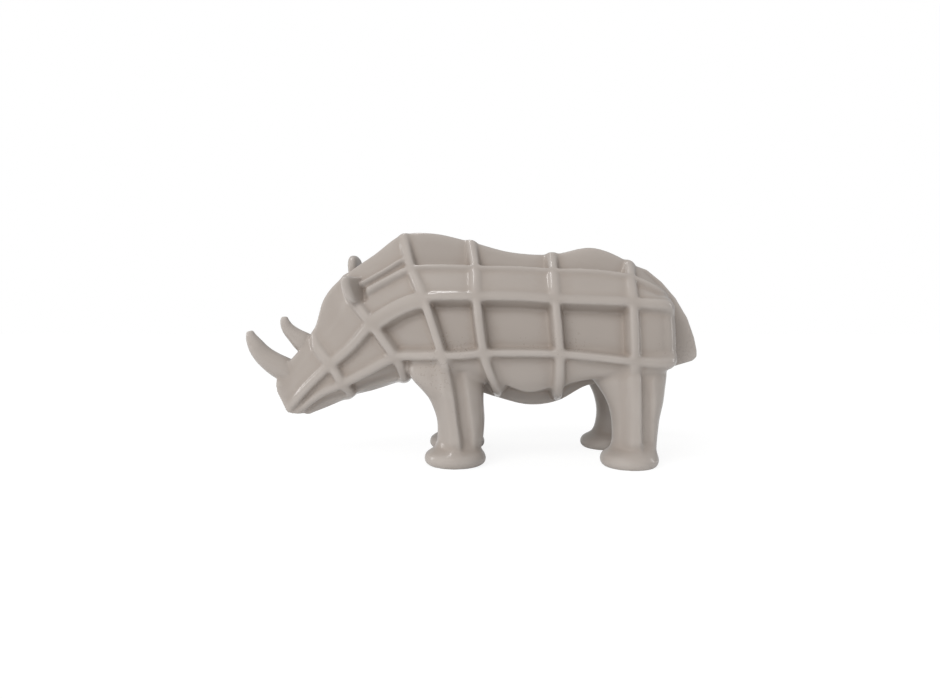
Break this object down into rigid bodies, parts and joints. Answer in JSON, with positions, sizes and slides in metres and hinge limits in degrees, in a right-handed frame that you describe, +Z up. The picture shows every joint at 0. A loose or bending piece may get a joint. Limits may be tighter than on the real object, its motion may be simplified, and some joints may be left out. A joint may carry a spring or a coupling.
{
  "type": "rhinoceros figurine",
  "caption": "Glazed ceramic rhinoceros figurine that stands on disc feet, modelled as crossing raised ribs with sunken panels between them.",
  "frame": {"origin": "on the ground under the middle of the figurine's bounding box", "axes": "+X from head to tail, so the animal looks along -X; +Y to the animal's right; +Z up"},
  "size_m": [0.3998, 0.1328, 0.197],
  "materials": {
    "glaze": "glossy greige glaze, a little warmer where it pools in the panels"
  },
  "bodies": {
    "root": {"rhinoceros": "glaze"}
  },
  "joints": []
}
